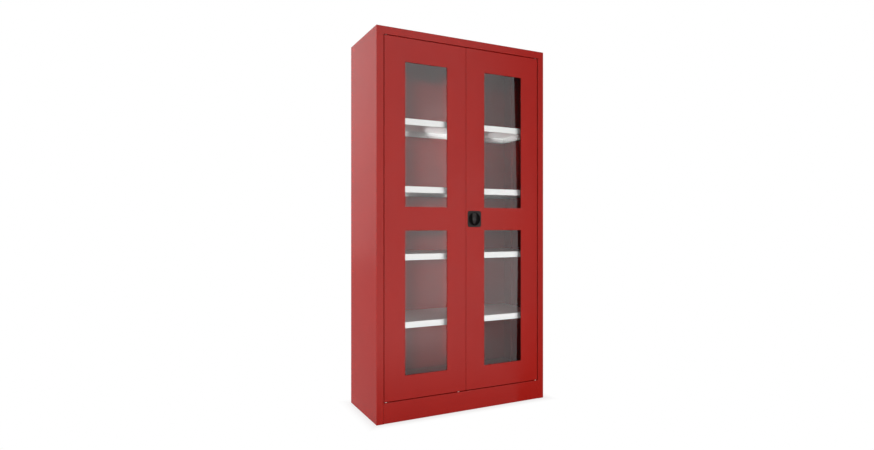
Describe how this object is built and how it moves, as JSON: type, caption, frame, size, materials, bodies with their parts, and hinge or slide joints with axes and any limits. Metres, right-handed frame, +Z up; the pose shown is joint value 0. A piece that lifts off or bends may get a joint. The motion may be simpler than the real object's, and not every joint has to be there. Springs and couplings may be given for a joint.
{
  "type": "glass door cabinet",
  "caption": "Tall red steel storage cabinet with glazed hinged doors, a turn-handle rod lock and white shelves that hang at adjustable heights.",
  "frame": {"origin": "centre of the cabinet's footprint on the floor", "axes": "+X to the right seen from the front, +Y from the doors to the back, +Z up; the doors face -Y"},
  "size_m": [1, 0.4, 1.95],
  "materials": {
    "red_paint": "semi-gloss powder coat",
    "white_paint": "satin powder coat",
    "clear_glass": "clear float glass",
    "black_plastic": "fine-grained",
    "zinc_steel": "zinc plated",
    "white_nylon": "natural nylon",
    "black_rubber": "matt",
    "lock_steel": "black zinc plated"
  },
  "bodies": {
    "carcass": {"left_side_panel": "red_paint", "right_side_panel": "red_paint", "top_panel": "red_paint", "plinth_panel": "red_paint", "floor_panel": "red_paint", "back_panel": "red_paint", "left_front_upright": "red_paint", "left_rear_upright": "red_paint", "right_front_upright": "red_paint", "right_rear_upright": "red_paint", "shelf_1": "white_paint", "shelf_1_clips": "zinc_steel", "shelf_2": "white_paint", "shelf_2_clips": "zinc_steel", "shelf_3": "white_paint", "shelf_3_clips": "zinc_steel", "shelf_4": "white_paint", "shelf_4_clips": "zinc_steel", "door_stop_bracket": "red_paint", "door_bumpers": "black_rubber", "lower_hinge_pins": "zinc_steel", "upper_hinge_pins": "zinc_steel", "hinge_washers": "white_nylon", "glide_button": "white_nylon", "upper_keeper": "zinc_steel", "lower_keeper": "zinc_steel"},
    "left_door": {"left_door_panel": "red_paint", "left_upper_glass": "clear_glass", "left_upper_gasket": "black_rubber", "left_upper_retainer": "red_paint", "left_lower_glass": "clear_glass", "left_lower_gasket": "black_rubber", "left_lower_retainer": "red_paint", "left_glazing_nuts": "zinc_steel", "left_hinge_plates": "red_paint", "left_hinge_bushes": "white_nylon"},
    "right_door": {"right_door_panel": "red_paint", "right_upper_glass": "clear_glass", "right_upper_gasket": "black_rubber", "right_upper_retainer": "red_paint", "right_lower_glass": "clear_glass", "right_lower_gasket": "black_rubber", "right_lower_retainer": "red_paint", "right_glazing_nuts": "zinc_steel", "right_hinge_plates": "red_paint", "right_hinge_bushes": "white_nylon", "handle_dish": "black_plastic", "dish_ring": "black_plastic", "upper_rod_guides": "black_plastic", "lower_rod_guides": "black_plastic"},
    "handle": {"handle_lever": "black_plastic", "lock_cylinder": "lock_steel", "handle_spindle": "zinc_steel", "spindle_screw": "zinc_steel", "latch_cam": "zinc_steel", "crank_pins": "zinc_steel"},
    "lock_plug": {"lock_plug": "lock_steel"},
    "upper_rod": {"upper_rod": "zinc_steel"},
    "lower_rod": {"lower_rod": "zinc_steel"}
  },
  "joints": [
    {"name": "left_door_hinge", "type": "hinge", "parent": "carcass", "child": "left_door", "pos_m": [-0.4495, -0.191, 1.00675], "axis": [0, 0, -1], "range_deg": [0, 110]},
    {"name": "right_door_hinge", "type": "hinge", "parent": "carcass", "child": "right_door", "pos_m": [0.4495, -0.191, 1.00675], "axis": [0, 0, 1], "range_deg": [0, 110]},
    {"name": "handle_turn", "type": "hinge", "parent": "right_door", "child": "handle", "pos_m": [0.0506, -0.189, 1.00675], "axis": [0, -1, 0], "range_deg": [0, 90]},
    {"name": "upper_rod_slide", "type": "slide", "parent": "right_door", "child": "upper_rod", "axis": [0, 0, 1], "range_m": [0, 0.02263]},
    {"name": "lower_rod_slide", "type": "slide", "parent": "right_door", "child": "lower_rod", "axis": [0, 0, -1], "range_m": [0, 0.02263]},
    {"name": "lock_plug_turn", "type": "hinge", "parent": "handle", "child": "lock_plug", "pos_m": [0.0506, -0.197, 1.00675], "axis": [0, -1, 0], "range_deg": [0, 90]}
  ],
  "couplings": [
    {"joint": "upper_rod_slide", "follows": "handle_turn", "m_per_rad": 0.0144},
    {"joint": "lower_rod_slide", "follows": "handle_turn", "m_per_rad": 0.0144}
  ]
}
